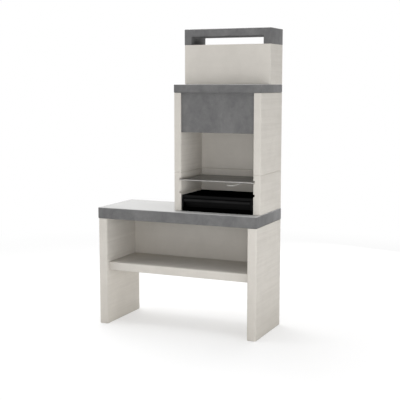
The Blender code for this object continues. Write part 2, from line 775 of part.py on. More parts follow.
def make_ash_drawer_tray(material, parent):
    front = PANEL_BACK + BED_GAP
    low = TUB_FLOOR + BED_GAP
    high = low + TRAY_HEIGHT
    faces = [
        level_face(TRAY_LEFT, TRAY_RIGHT, front, TRAY_BACK, low),
        wall(TRAY_LEFT, TRAY_RIGHT, low, high, y=front),
        wall(TRAY_LEFT, TRAY_RIGHT, low, high, y=TRAY_BACK, flip=True),
        wall(front, TRAY_BACK, low, high, x=TRAY_LEFT, flip=True),
        wall(front, TRAY_BACK, low, high, x=TRAY_RIGHT),
    ]
    return add_sheet("ash_drawer_tray", faces, TRAY_SHEET, material, parent)


def make_ash_drawer_front(material, parent):
    """A flat panel whose top edge rolls forward and down into a pull along its whole width."""
    centre_y = PANEL_BACK - DRAWER_ROLL_RADIUS
    centre_z = TUB_UNDERSIDE + DRAWER_ROLL_TOP - DRAWER_ROLL_RADIUS
    inner_radius = DRAWER_ROLL_RADIUS - SHEET
    angles = [DRAWER_ROLL_END * step / ROLL_STEPS for step in range(ROLL_STEPS + 1)]
    foot = TUB_FLOOR + BED_GAP
    outline = [(PANEL_BACK, foot)]
    for angle in angles:
        reach = DRAWER_ROLL_RADIUS
        outline.append((centre_y + reach * math.cos(angle), centre_z + reach * math.sin(angle)))
    for angle in reversed(angles):
        reach = inner_radius
        outline.append((centre_y + reach * math.cos(angle), centre_z + reach * math.sin(angle)))
    outline.append((PANEL_BACK - SHEET, foot))
    bm = prism(outline, TUB_LEFT + DRAWER_FRONT_INSET, TUB_RIGHT - DRAWER_FRONT_INSET, "X")
    return add_mesh("ash_drawer_front", bm, material, parent)


def make_grill_frame(material, parent):
    corners = [
        ((GRILL_LEFT, GRILL_FRONT, GRILL_Z), GRILL_CORNER_RADIUS),
        ((GRILL_RIGHT, GRILL_FRONT, GRILL_Z), GRILL_CORNER_RADIUS),
        ((GRILL_RIGHT, GRILL_BACK, GRILL_Z), GRILL_CORNER_RADIUS),
        ((GRILL_LEFT, GRILL_BACK, GRILL_Z), GRILL_CORNER_RADIUS),
    ]
    route = rounded(corners, ARRIS_STEPS)
    return add_wire("grill_frame", route, GRILL_WIRE, material, parent, closed=True)


def make_grill_cross_bars(material, parent):
    """Two wires between the sides of the frame, level with its top, under the rods."""
    left = GRILL_LEFT + GRILL_WIRE + BED_GAP
    right = GRILL_RIGHT - GRILL_WIRE - BED_GAP
    z = GRILL_Z + GRILL_WIRE - GRILL_CROSS_WIRE
    for name, share in zip(("grill_cross_bar_front", "grill_cross_bar_rear"), GRILL_CROSS_SHARES):
        y = GRILL_FRONT + share * (GRILL_BACK - GRILL_FRONT)
        add_wire(name, [Vector((left, y, z)), Vector((right, y, z))], GRILL_CROSS_WIRE, material, parent)


def make_grill_rods(material, parent):
    """The rods lie front to back on the frame, and all share one mesh."""
    count = int((GRILL_RIGHT - GRILL_LEFT) / GRILL_ROD_PITCH) - 1
    step = (GRILL_RIGHT - GRILL_LEFT) / (count + 1)
    length = GRILL_BACK - GRILL_FRONT + 2 * GRILL_ROD_END
    middle = (GRILL_BACK + GRILL_FRONT) / 2
    z = GRILL_Z + GRILL_WIRE + BED_GAP + GRILL_ROD
    bm = bmesh.new()
    bmesh.ops.create_cone(
        bm, cap_ends=True, segments=WIRE_SIDES, radius1=GRILL_ROD, radius2=GRILL_ROD, depth=length
    )
    for vert in bm.verts:
        vert.co = Vector((vert.co.x, vert.co.z, -vert.co.y))
    first = add_mesh("grill_rod_01", bm, material)
    for index in range(count):
        rod = first
        if index:
            rod = bpy.data.objects.new(f"grill_rod_{index + 1:02d}", first.data)
            bpy.context.collection.objects.link(rod)
        rod.parent = parent
        place = Vector((GRILL_LEFT + (index + 1) * step, middle, z))
        rod.location = place - world_place(parent)


def make_grill_handle(material, parent):
    """A wire bow under the front wire: it runs forward, dips, and returns. Its arms spread
    towards the frame."""
    x = GRILL_LEFT + HANDLE_PLACE_SHARE * (GRILL_RIGHT - GRILL_LEFT)
    left, right = x - HANDLE_WIDTH / 2, x + HANDLE_WIDTH / 2
    wide_left, wide_right = left - HANDLE_FLARE, right + HANDLE_FLARE
    z = GRILL_Z - GRILL_WIRE - BED_GAP - GRILL_HANDLE_WIRE
    tail = GRILL_FRONT + HANDLE_TAIL
    elbow = GRILL_FRONT - HANDLE_TAIL
    tip = GRILL_FRONT - HANDLE_REACH
    corners = [
        ((wide_left, tail, z), 0),
        ((wide_left, elbow, z), HANDLE_ELBOW_RADIUS),
        ((left, tip, z - HANDLE_DROP), HANDLE_CORNER_RADIUS),
        ((right, tip, z - HANDLE_DROP), HANDLE_CORNER_RADIUS),
        ((wide_right, elbow, z), HANDLE_ELBOW_RADIUS),
        ((wide_right, tail, z), 0),
    ]
    route = rounded(corners, ARRIS_STEPS, closed=False)
    return add_wire("grill_handle", route, GRILL_HANDLE_WIRE, material, parent)


def make_masonry(pale, grey):
    make_leg("left_leg", -1, pale)
    make_leg("right_leg", 1, pale)
    make_shelf(pale)
    make_base_back_panel(pale)
    make_worktop(grey)
    make_hearth_lower_block(pale)
    make_hearth_upper_block(pale)
    make_hood_front_panel(grey)
    make_mantel_slab(grey)
    make_chimney_hood(pale)
    make_chimney_cap(grey)


def make_fire_box(black, iron):
    slide = make_empty("fire_box_slide", Vector((HEARTH_MIDDLE_X, RIM_FRONT, WORKTOP_HEIGHT)))
    make_fire_box_tub(black, slide)
    make_runner("fire_box_runner_left", -1, black, slide)
    make_runner("fire_box_runner_right", 1, black, slide)
    make_ledge("grate_ledge_left", -1, black, slide)
    make_ledge("grate_ledge_right", 1, black, slide)
    middle_y = (TUB_FRONT + TUB_BACK) / 2
    lift = make_empty("charcoal_grate_lift", Vector((HEARTH_MIDDLE_X, middle_y, LEDGE_TOP)), slide)
    make_charcoal_grate(iron, lift)
    drawer = make_empty("ash_drawer_slide", Vector((HEARTH_MIDDLE_X, PANEL_BACK, TUB_FLOOR)), slide)
    make_ash_drawer_tray(black, drawer)
    make_ash_drawer_front(black, drawer)


def make_grill(chrome):
    slide = make_empty("grill_slide", Vector((HEARTH_MIDDLE_X, GRILL_FRONT, GRILL_Z)))
    make_grill_frame(chrome, slide)
    make_grill_cross_bars(chrome, slide)
    make_grill_rods(chrome, slide)
    make_grill_handle(chrome, slide)


def main():
    clear_scene()
    pale = make_material("pale_cement", (0.60, 0.575, 0.52), 0.85, 0)
    grey = make_material("grey_cement", (0.155, 0.16, 0.168), 0.6, 0)
    black = make_material("black_steel", (0.012, 0.012, 0.013), 0.4, 0.5)
    iron = make_material("cast_iron", (0.03, 0.03, 0.032), 0.65, 0.6)
    chrome = make_material("chrome_wire", (0.62, 0.62, 0.61), 0.15, 1)
    make_masonry(pale, grey)
    make_fire_box(black, iron)
    make_grill(chrome)


main()
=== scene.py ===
# %% [markdown]
# Outdoor masonry barbecue: the looks.
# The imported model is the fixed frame: every piece is already in its place and at its real size, in
# metres, with +X to the cook's right, +Y to the back and +Z up. This file gives each surface its
# finish, and remakes the pieces whose fine shape the plain solids leave out.

# %% Load the frame
import json
import math
from collections import Counter

import bmesh
import bpy
from mathutils import Euler, Matrix, Vector


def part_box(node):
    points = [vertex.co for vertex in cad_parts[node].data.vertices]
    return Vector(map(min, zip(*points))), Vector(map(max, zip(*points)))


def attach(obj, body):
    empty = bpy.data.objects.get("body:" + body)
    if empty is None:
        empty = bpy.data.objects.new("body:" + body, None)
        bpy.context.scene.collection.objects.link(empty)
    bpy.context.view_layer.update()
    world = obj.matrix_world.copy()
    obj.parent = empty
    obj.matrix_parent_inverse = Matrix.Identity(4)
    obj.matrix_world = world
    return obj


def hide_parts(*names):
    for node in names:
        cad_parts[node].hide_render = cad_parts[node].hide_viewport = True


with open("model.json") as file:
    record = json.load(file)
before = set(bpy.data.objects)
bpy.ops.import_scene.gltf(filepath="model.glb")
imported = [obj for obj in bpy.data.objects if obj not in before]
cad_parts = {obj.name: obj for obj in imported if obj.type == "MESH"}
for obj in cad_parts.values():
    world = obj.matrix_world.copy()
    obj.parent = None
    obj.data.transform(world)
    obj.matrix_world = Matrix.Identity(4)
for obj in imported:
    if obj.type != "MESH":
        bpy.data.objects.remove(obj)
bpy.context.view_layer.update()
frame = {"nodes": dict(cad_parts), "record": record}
bpy.ops.object.select_all(action="DESELECT")

# %% [markdown]
# The camera stands where the photographer stood: in front of the barbecue and to its right, a little
# above the middle of its height, and it looks slightly down. The lens is a short telephoto, which
# keeps the uprights nearly parallel. These values come from the slopes of the straight edges.

# %% Camera
CAMERA_PLACE = Vector((2.633, -5.709, 1.704))
CAMERA_PITCH = math.radians(7.32)
CAMERA_YAW = math.radians(24.07)
SENSOR_WIDTH = 36.0
IMAGE_SIZE = 400
FOCAL_PIXELS = 896.15

camera_data = bpy.data.cameras.new("camera")
camera_data.sensor_width = SENSOR_WIDTH
camera_data.lens = FOCAL_PIXELS * SENSOR_WIDTH / IMAGE_SIZE
camera = bpy.data.objects.new("camera", camera_data)
camera.location = CAMERA_PLACE
camera.rotation_euler = Euler((math.pi / 2 - CAMERA_PITCH, 0, CAMERA_YAW))
bpy.context.scene.collection.objects.link(camera)
bpy.context.scene.camera = camera
bpy.context.scene.view_settings.view_transform = "Standard"
print("lens:", round(camera_data.lens, 1), "mm")

# %% [markdown]
# A material is a small graph of nodes. A few helpers keep the graphs short: they add a node and set it
# up, add a noise texture, map its values to another range, and mix two colours. All textures read
# Object coordinates: here they are metres in the frame, so a pattern has its real size.

# %% Helpers for materials
MIX_A, MIX_B, MIX_RESULT = 6, 7, 2  # the colour sockets of a Mix node


def new_material(name):
    material = bpy.data.materials.new(name)
    material.use_nodes = True
    return material, material.node_tree, material.node_tree.nodes["Principled BSDF"]


def feed(tree, socket, value):
    """Links an output to a socket, or gives the socket a plain value."""
    if isinstance(value, bpy.types.NodeSocket):
        tree.links.new(value, socket)
    else:
        socket.default_value = value


def node(tree, kind, settings=None, **sockets):
    """Adds a node, sets it up and feeds its sockets."""
    made = tree.nodes.new("ShaderNode" + kind)
    for name, value in (settings or {}).items():
        setattr(made, name, value)
    for name, value in sockets.items():
        feed(tree, made.inputs[name.replace("_", " ")], value)
    return made


def object_place(tree, stretch=(1, 1, 1)):
    """Object coordinates, squeezed along an axis where the pattern is long and thin."""
    coordinates = node(tree, "TexCoord").outputs["Object"]
    if stretch == (1, 1, 1):
        return coordinates
    return node(tree, "Mapping", Vector=coordinates, Scale=stretch).outputs["Vector"]


def noise(tree, place, scale, detail=4.0, roughness=0.55, distortion=0.0):
    made = node(
        tree, "TexNoise", Vector=place, Scale=scale, Detail=detail, Roughness=roughness, Distortion=distortion
    )
    return made.outputs["Fac"]


def spread(tree, value, low, high, to_low=0.0, to_high=1.0):
    made = node(tree, "MapRange", Value=value, From_Min=low, From_Max=high, To_Min=to_low, To_Max=to_high)
    return made.outputs["Result"]


def mix(tree, share, first, second):
    made = tree.nodes.new("ShaderNodeMix")
    made.data_type = "RGBA"
    for socket, value in (("Factor", share), (MIX_A, first), (MIX_B, second)):
        feed(tree, made.inputs[socket], value)
    return made.outputs[MIX_RESULT]


def arithmetic(tree, operation, first, second):
    made = node(tree, "Math", {"operation": operation})
    for socket, value in zip(made.inputs, (first, second)):
        feed(tree, socket, value)
    return made.outputs["Value"]


def bump(tree, height, depth, normal=None, strength=1.0):
    made = node(tree, "Bump", Height=height, Distance=depth, Strength=strength)
    if normal:
        tree.links.new(normal, made.inputs["Normal"])
    return made.outputs["Normal"]


def grey(level):
    return (level, level, level, 1)


# %% [markdown]
# The pale blocks are cast in white cement with light sand. Their faces are a warm off-white with soft
# clouds, fine sand grains and a few pores. The sides, which face left and right, come out of a lined
# mould, so long level lines run along them. The broad ones are cut into the mesh further down. The
# hair-thin ones are bump here, and their mask is the part of the surface direction along X. Towards
# the floor the colour turns a little darker, towards that of the sand: this is painted shade, for the
# shade that falls low down near the floor.

# %% Pale cement
PALE_LIGHT = (0.722, 0.689, 0.637, 1)
PALE_DARK = (0.672, 0.641, 0.592, 1)
SAND_COLOUR = (0.44, 0.41, 0.36, 1)
PORE_COLOUR = (0.30, 0.28, 0.25, 1)
CLOUD_SCALE = 7.0
SAND_SCALE = 900.0
PORE_SCALE = 260.0
FINE_LINE_STRETCH = (1.0, 1.6, 52.0)
FINE_LINE_DEPTH = 0.0008
SAND_DEPTH = 0.0004
# Painted shade near the floor: how high it reaches, and its share at the floor.
PAINTED_SHADE_HEIGHT = 0.42
PAINTED_SHADE_SHARE = 0.30
SAND_SHARE = 0.10
LINE_SHARE = 0.13
PORE_SHARE = 0.35
PORE_PATCH_SCALE = 60.0
LINES_ON_OTHER_SIDES = 0.25


def facing_sideways(tree):
    """1 where the surface faces left or right, 0 elsewhere."""
    direction = node(tree, "SeparateXYZ", Vector=node(tree, "TexCoord").outputs["Normal"]).outputs["X"]
    return spread(tree, arithmetic(tree, "ABSOLUTE", direction, 0.0), 0.85, 0.99)


def make_pale_cement():
    material, tree, shader = new_material("pale_cement")
    place = object_place(tree)
    clouds = spread(tree, noise(tree, place, CLOUD_SCALE, 6.0, 0.62), 0.32, 0.68)
    sand = noise(tree, place, SAND_SCALE, 2.0)
    pores = node(tree, "TexVoronoi", Vector=place, Scale=PORE_SCALE, Randomness=1.0).outputs["Distance"]
    pore_mask = spread(tree, pores, 0.10, 0.22, 1.0, 0.0)
    sparse = spread(tree, noise(tree, place, PORE_PATCH_SCALE, 2.0), 0.56, 0.66)
    pore_mask = arithmetic(tree, "MULTIPLY", pore_mask, sparse)
    lines = noise(tree, object_place(tree, FINE_LINE_STRETCH), 1.0, 4.0, 0.6, 0.4)
    lines = arithmetic(tree, "SUBTRACT", 1.0, spread(tree, lines, 0.36, 0.60))
    lines_here = arithmetic(tree, "ADD", facing_sideways(tree), LINES_ON_OTHER_SIDES)
    lines = arithmetic(tree, "MULTIPLY", lines, lines_here)
    colour = mix(tree, clouds, PALE_DARK, PALE_LIGHT)
    colour = mix(tree, spread(tree, sand, 0.35, 0.65, 0.0, SAND_SHARE), colour, SAND_COLOUR)
    colour = mix(tree, arithmetic(tree, "MULTIPLY", lines, LINE_SHARE), colour, SAND_COLOUR)
    colour = mix(tree, arithmetic(tree, "MULTIPLY", pore_mask, PORE_SHARE), colour, PORE_COLOUR)
    # Painted shade: the colour darkens towards the sand's colour near the floor.
    height = node(tree, "SeparateXYZ", Vector=place).outputs["Z"]
    colour = mix(tree, spread(tree, height, 0.0, PAINTED_SHADE_HEIGHT, PAINTED_SHADE_SHARE, 0.0), colour, SAND_COLOUR)
    tree.links.new(colour, shader.inputs["Base Color"])
    tree.links.new(spread(tree, clouds, 0.0, 1.0, 0.95, 0.85), shader.inputs["Roughness"])
    shader.inputs["Specular IOR Level"].default_value = 0.25
    normal = bump(tree, arithmetic(tree, "SUBTRACT", 1.0, lines), FINE_LINE_DEPTH, strength=0.5)
    normal = bump(tree, sand, SAND_DEPTH, normal, 0.35)
    normal = bump(tree, arithmetic(tree, "SUBTRACT", 1.0, pore_mask), SAND_DEPTH, normal, 0.6)
    tree.links.new(normal, shader.inputs["Normal"])
    return material


# %% [markdown]
# The grey slabs are cast in smooth moulds. Their colour is a neutral mid grey with clouds of several
# sizes and small pale flecks. The upper faces are trowelled with a satin seal, so they shine where they
# are seen at a low angle, and their colour is painted lighter too: painted light, for the light from
# above and the white they mirror. The share of the direction that points up finds them.

# %% Grey cement
GREY_DARK = (0.124, 0.124, 0.126, 1)
GREY_LIGHT = (0.190, 0.189, 0.188, 1)
GREY_FLECK = (0.30, 0.30, 0.29, 1)
PAINTED_TOP_LIGHT_COLOUR = (0.430, 0.429, 0.423, 1)
BLOTCH_STRETCH = (1.0, 1.0, 0.5)
TROWELLED_ROUGHNESS = 0.45
CAST_ROUGHNESS = 0.80
GREY_SHINE = 0.45
BROAD_SHARE = 0.6
FLECK_SCALE = 420.0
FLECK_SHARE = 0.25
GRAIN_SCALE = 700.0
GRAIN_ON_SEALED = 0.06
# The same upward share also paints the top faces lighter: painted light.
SEAL_AND_PAINTED_LIGHT_UPWARD = (0.25, 0.60)  # how far up a face looks where the seal starts, and where it is full


def make_grey_cement():
    material, tree, shader = new_material("grey_cement")
    place = object_place(tree)
    broad = noise(tree, object_place(tree, BLOTCH_STRETCH), 6.0, 5.0, 0.6, 0.6)
    small = noise(tree, place, 26.0, 6.0, 0.68, 0.3)
    broad_part = arithmetic(tree, "MULTIPLY", broad, BROAD_SHARE)
    small_part = arithmetic(tree, "MULTIPLY", small, 1 - BROAD_SHARE)
    clouds = arithmetic(tree, "ADD", broad_part, small_part)
    colour = mix(tree, spread(tree, clouds, 0.38, 0.62), GREY_DARK, GREY_LIGHT)
    flecks = spread(tree, noise(tree, place, FLECK_SCALE, 2.0), 0.62, 0.72, 0.0, FLECK_SHARE)
    colour = mix(tree, flecks, colour, GREY_FLECK)
    upward = node(tree, "SeparateXYZ", Vector=node(tree, "TexCoord").outputs["Normal"]).outputs["Z"]
    sealed_and_painted_light = spread(tree, upward, *SEAL_AND_PAINTED_LIGHT_UPWARD)
    cast = arithmetic(tree, "SUBTRACT", 1.0, sealed_and_painted_light)
    # Painted light: the upward faces are painted lighter, for the light from above and the white they mirror.
    painted_top_light = arithmetic(tree, "MULTIPLY", sealed_and_painted_light, spread(tree, broad, 0.3, 0.7, 0.86, 1.0))
    tree.links.new(mix(tree, painted_top_light, colour, PAINTED_TOP_LIGHT_COLOUR), shader.inputs["Base Color"])
    shader.inputs["Specular IOR Level"].default_value = GREY_SHINE
    rough = spread(tree, sealed_and_painted_light, 0.0, 1.0, CAST_ROUGHNESS, TROWELLED_ROUGHNESS)
    uneven = spread(tree, broad, 0.3, 0.7, -0.03, 0.04)
    tree.links.new(arithmetic(tree, "ADD", rough, uneven), shader.inputs["Roughness"])
    normal = bump(tree, broad, 0.0004, strength=0.15)
    grain_share = spread(tree, cast, 0.0, 1.0, GRAIN_ON_SEALED, 1.0)
    grains = arithmetic(tree, "MULTIPLY", noise(tree, place, GRAIN_SCALE, 3.0), grain_share)
    normal = bump(tree, grains, 0.0002, normal, 0.25)
    tree.links.new(normal, shader.inputs["Normal"])
    return material


# %% [markdown]
# The fire box is sheet steel with a heat-proof black coating: very dark, with a faint, blurred shine
# and a fine orange-peel skin. Inside, soot takes the shine away and darkens it. At its foot the kick
# plate gets the same darker, dull black, which there is painted shade. The drawer's front has two more
# states of the coating, both painted highlight: grey all over the roll, and grey fading back to black
# down the panel. The charcoal grate is cast iron, black from use. The grill is plated wire gone dull:
# all metal, with a grey tint, and rough enough to blur what it mirrors.

# %% Metals
# Painted highlight on the drawer's front: its grey, and how far it fades around the foot of the roll.
PAINTED_HIGHLIGHT_LEVEL = 0.010
PAINTED_HIGHLIGHT_FADE = 0.022
ROLL_RADIUS = 0.0135
PULL_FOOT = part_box("ash_drawer_front")[1][2] - 2 * ROLL_RADIUS
STEEL_PATCH_SCALE = 14.0
STEEL_SKIN_SCALE = 1100.0
IRON_DARK = (0.002, 0.002, 0.002, 1)
IRON_LIGHT = (0.005, 0.0045, 0.004, 1)
WIRE_DARK = (0.36, 0.353, 0.342, 1)
WIRE_LIGHT = (0.43, 0.422, 0.409, 1)
WIRE_HAZE_SCALE = 45.0


def make_black_steel(name, sheen, low_roughness, high_roughness, level=0.001, painted_highlight=None):
    """painted_highlight gives the height where a painted highlight starts to turn the coating grey upwards,
    and that of its full grey.
    """
    material, tree, shader = new_material(name)
    place = object_place(tree)
    patches = noise(tree, place, STEEL_PATCH_SCALE, 4.0, 0.6)
    shade = mix(tree, spread(tree, patches, 0.35, 0.65), grey(level * 0.6), grey(level * 1.3))
    # Painted highlight: the coating turns grey upwards from a given height.
    if painted_highlight:
        height = node(tree, "SeparateXYZ", Vector=place).outputs["Z"]
        shade = mix(tree, spread(tree, height, *painted_highlight), shade, grey(PAINTED_HIGHLIGHT_LEVEL))
    tree.links.new(shade, shader.inputs["Base Color"])
    shader.inputs["Specular IOR Level"].default_value = sheen
    rough = spread(tree, patches, 0.3, 0.7, low_roughness, high_roughness)
    tree.links.new(rough, shader.inputs["Roughness"])
    skin = noise(tree, place, STEEL_SKIN_SCALE, 2.0)
    tree.links.new(bump(tree, skin, 0.0002, strength=0.3), shader.inputs["Normal"])
    return material


def make_cast_iron():
    material, tree, shader = new_material("cast_iron")
    place = object_place(tree)
    patches = noise(tree, place, 30.0, 5.0, 0.65)
    colour = mix(tree, spread(tree, patches, 0.35, 0.68), IRON_DARK, IRON_LIGHT)
    tree.links.new(colour, shader.inputs["Base Color"])
    shader.inputs["Specular IOR Level"].default_value = 0.12
    tree.links.new(spread(tree, patches, 0.3, 0.7, 0.6, 0.78), shader.inputs["Roughness"])
    casting = noise(tree, place, 500.0, 4.0, 0.7)
    tree.links.new(bump(tree, casting, 0.0005, strength=0.6), shader.inputs["Normal"])
    return material


def make_chrome_wire():
    material, tree, shader = new_material("chrome_wire")
    place = object_place(tree)
    haze = noise(tree, place, WIRE_HAZE_SCALE, 3.0)
    colour = mix(tree, spread(tree, haze, 0.35, 0.65), WIRE_DARK, WIRE_LIGHT)
    tree.links.new(colour, shader.inputs["Base Color"])
    shader.inputs["Metallic"].default_value = 1.0
    tree.links.new(spread(tree, haze, 0.3, 0.7, 0.34, 0.44), shader.inputs["Roughness"])
    drawn = noise(tree, place, 900.0, 2.0)
    tree.links.new(bump(tree, drawn, 0.0001, strength=0.2), shader.inputs["Normal"])
    return material


finishes = {
    "pale_cement": make_pale_cement(),
    "grey_cement": make_grey_cement(),
    "black_steel": make_black_steel("black_steel", 0.085, 0.50, 0.62),
    "cast_iron": make_cast_iron(),
    "chrome_wire": make_chrome_wire(),
}
# A darker, dull black: soot inside the box and on the rim's top, and painted shade on the kick plate.
soot_and_shade_black = make_black_steel("black_steel_soot_and_shade", 0.006, 0.90, 0.98, 0.0004)
# The drawer's panel gets a painted highlight that fades down from the roll, and the roll a painted grey all
# over.
painted_highlight_heights = (PULL_FOOT - PAINTED_HIGHLIGHT_FADE, PULL_FOOT + PAINTED_HIGHLIGHT_FADE)
flat_black = make_black_steel("black_steel_flat", 0.055, 0.55, 0.66, painted_highlight=painted_highlight_heights)
roll_painted_highlight_black = make_black_steel("black_steel_painted_highlight", 0.11, 0.60, 0.70, PAINTED_HIGHLIGHT_LEVEL)
slot_of = {part["node"]: part["material_slot"] for part in frame["record"]["subparts"]}
for node_name, slot_name in slot_of.items():
    for material_slot in frame["nodes"][node_name].material_slots:
        material_slot.material = finishes[slot_name]
print("finishes:", sorted(finishes))

# %% [markdown]
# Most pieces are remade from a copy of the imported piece, so they keep its places exactly. The copy's
# loose triangles are merged, and then into whole faces, because a bevel needs clean edges to follow.
# A remade piece stands for its packed one: it rides on the same body and takes the same finish. Each
# one prints its open edges, because a hole in a thin piece is hard to see in a picture.

# %% Helpers for pieces
MERGE_DISTANCE = 0.00001
FLAT_ANGLE = math.radians(1)
SMOOTH_ANGLE = math.radians(35)
body_of = {
    node_name: body for body, names in frame["record"]["behaviour"]["bodies"].items() for node_name in names
}


def work_on(piece):
    bpy.ops.object.select_all(action="DESELECT")
    piece.select_set(True)
    bpy.context.view_layer.objects.active = piece


def merged_copy(node_name):
    piece = bpy.data.objects.new(node_name + "_finished", frame["nodes"][node_name].data.copy())
    bpy.context.scene.collection.objects.link(piece)
    work_on(piece)
    bpy.ops.mesh.customdata_custom_splitnormals_clear()
    bpy.ops.object.mode_set(mode="EDIT")
    bpy.ops.mesh.select_all(action="SELECT")
    bpy.ops.mesh.remove_doubles(threshold=MERGE_DISTANCE)
    bpy.ops.mesh.dissolve_limited(angle_limit=FLAT_ANGLE)
    bpy.ops.object.mode_set(mode="OBJECT")
    return piece


def apply_modifier(piece, kind, **settings):
    work_on(piece)
    modifier = piece.modifiers.new(kind.lower(), kind)
    for name, value in settings.items():
        setattr(modifier, name, value)
    bpy.ops.object.modifier_apply(modifier=modifier.name)


def round_edges(piece, width, segments=2, angle=30):
    apply_modifier(
        piece, "BEVEL", width=width, segments=segments, limit_method="ANGLE", angle_limit=math.radians(angle)
    )


def open_edges(piece):
    """Counts the edges that don't join exactly two faces. A closed piece has none."""
    joined = Counter(key for face in piece.data.polygons for key in face.edge_keys)
    return sum(1 for key in piece.data.edge_keys if joined[key] != 2)


def stand_for(piece, node_name):
    work_on(piece)
    bpy.ops.object.shade_smooth_by_angle(angle=SMOOTH_ANGLE)
    if not piece.data.materials:
        piece.data.materials.append(None)
    piece.data.materials[0] = finishes[slot_of[node_name]]
    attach(piece, body_of[node_name])
    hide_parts(node_name)
    print(piece.name, "faces:", len(piece.data.polygons), "open edges:", open_edges(piece))


# %% [markdown]
# The sides of the pale pieces carry the broad lines of the mould's lining. They are real relief: the
# copy is cut by many level planes and some upright ones, with bisect, until its flat sides are a fine
# mesh, and a Displace modifier with a cloud texture then moves them in and out by less than a
# millimetre. The texture is read through an empty that is squashed in height, so the clouds come out
# as long level waves. Only points inside the flat sides are in the vertex group that moves, so the
# edges and the bed joints stay where they are. The arrises get a smaller wander of their own, as cast
# edges do.

# %% Pale blocks with a lined face
LEVEL_STEP = 0.005
UPRIGHT_STEP = 0.016
EDGE_KEPT = 0.004
LINING_SIZE = (0.30, 0.26, 0.026)
LINING_DEPTH = 0.0022
WANDER_SIZE = (0.03, 0.03, 0.03)
WANDER_DEPTH = 0.0009
WANDER_MIDDLE = 0.2
PALE_EDGE = 0.0009
FACING_SIDEWAYS = 0.999
FACING_AN_AXIS = 0.998


def cut_across(piece, axis, step):
    """Cuts the piece by planes at even steps along an axis."""
    low, high = (corner[axis] for corner in (piece.bound_box[0], piece.bound_box[6]))
    across = [0, 0, 0]
    across[axis] = 1
    count = int((high - low - 2 * EDGE_KEPT) / step)
    work_on(piece)
    bpy.ops.object.mode_set(mode="EDIT")
    for index in range(count + 1):
        place = [0, 0, 0]
        place[axis] = low + EDGE_KEPT + (high - low - 2 * EDGE_KEPT) * index / count
        bpy.ops.mesh.select_all(action="SELECT")
        bpy.ops.mesh.bisect(plane_co=place, plane_no=across)
    bpy.ops.object.mode_set(mode="OBJECT")


def group_of_points(piece, name, chosen):
    """A vertex group of the points whose faces all pass a test."""
    points = set(range(len(piece.data.vertices)))
    for face in piece.data.polygons:
        if not chosen(face):
            points.difference_update(face.vertices)
    piece.vertex_groups.new(name=name).add(list(points), 1.0, "REPLACE")


def make_stretch(size):
    stretch = bpy.data.objects.new("stretch", None)
    stretch.scale = size
    bpy.context.scene.collection.objects.link(stretch)
    bpy.context.view_layer.update()
    return stretch


def roughen(piece, group, stretch, depth, direction, middle=0.5):
    clouds = bpy.data.textures.new("cast_relief", "CLOUDS")
    clouds.noise_scale = 1.0
    clouds.noise_depth = 2
    apply_modifier(
        piece,
        "DISPLACE",
        texture=clouds,
        texture_coords="OBJECT",
        texture_coords_object=stretch,
        vertex_group=group,
        direction=direction,
        strength=depth,
        mid_level=middle,
    )


def make_lined_block(node_name):
    piece = merged_copy(node_name)
    round_edges(piece, PALE_EDGE)
    cut_across(piece, 2, LEVEL_STEP)
    cut_across(piece, 1, UPRIGHT_STEP)
    group_of_points(piece, "sides", lambda face: abs(face.normal.x) > FACING_SIDEWAYS)
    group_of_points(piece, "arrises", lambda face: max(abs(value) for value in face.normal) < FACING_AN_AXIS)
    roughen(piece, "sides", lining, LINING_DEPTH, "X")
    roughen(piece, "arrises", wander, -WANDER_DEPTH, "NORMAL", WANDER_MIDDLE)
    stand_for(piece, node_name)


lining = make_stretch(LINING_SIZE)
wander = make_stretch(WANDER_SIZE)
for node_name in ("left_leg", "right_leg", "hearth_lower_block", "hearth_upper_block", "chimney_hood"):
    make_lined_block(node_name)
for stretch in (lining, wander):
    bpy.data.objects.remove(stretch)

# %% [markdown]
# The shelf, the back panel and the grey slabs are flat on all sides. Their edges are not knife-sharp:
# a Bevel modifier of about a millimetre gives each one a soft line that catches the light. It is a
# little wider on the pale slabs than on the grey ones.

# %% Slabs with soft edges
PALE_SLAB_EDGE = 0.0012
GREY_SLAB_EDGE = 0.0010

for node_name in ("shelf", "base_back_panel"):
    slab = merged_copy(node_name)
    round_edges(slab, PALE_SLAB_EDGE)
    stand_for(slab, node_name)
for node_name in ("worktop", "hood_front_panel", "mantel_slab", "chimney_cap"):
    slab = merged_copy(node_name)
    round_edges(slab, GREY_SLAB_EDGE)
    stand_for(slab, node_name)

# %% [markdown]
# The fire box is folded from 2 mm sheet, so its edges are soft too, by 0.4 millimetres. Only
# the faces that look forward, from the tub's floor up, keep a little shine. The inside and the top of
# the rim are sooty, and the kick plate takes the same darker, dull black as painted shade. Those faces
# get a second material, chosen by height and direction.

# %% Fire box
FOLD_EDGE = 0.0004
KICK_MARGIN = 0.0005
KICK_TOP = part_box("ash_drawer_front")[0][2] - KICK_MARGIN
LOOKS_FORWARD = -0.5
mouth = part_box("ash_drawer_front")[1][1]

for node_name in (
    "fire_box_tub",
    "fire_box_runner_left",
    "fire_box_runner_right",
    "grate_ledge_left",
    "grate_ledge_right",
    "ash_drawer_tray",
):
    sheet = merged_copy(node_name)
    round_edges(sheet, FOLD_EDGE)
    stand_for(sheet, node_name)
    # The other faces take the darker, dull black: soot inside and on the rim, painted shade on the kick
    # plate.
    sheet.data.materials.append(soot_and_shade_black)
    for face in sheet.data.polygons:
        keeps_shine = face.normal.y < LOOKS_FORWARD and face.center.y < mouth and face.center.z > KICK_TOP
        face.material_index = 0 if keeps_shine else 1

# %% [markdown]
# The drawer's front is one sheet whose top edge is rolled forward into a full-width pull. The roll
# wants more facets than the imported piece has, so it is made anew: a thin bar at the foot of the panel
# is the start, its upper edge is extruded up to the roll, and spin turns that edge round the axis of
# the roll. The roll ends 8 degrees short of closing downwards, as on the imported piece.

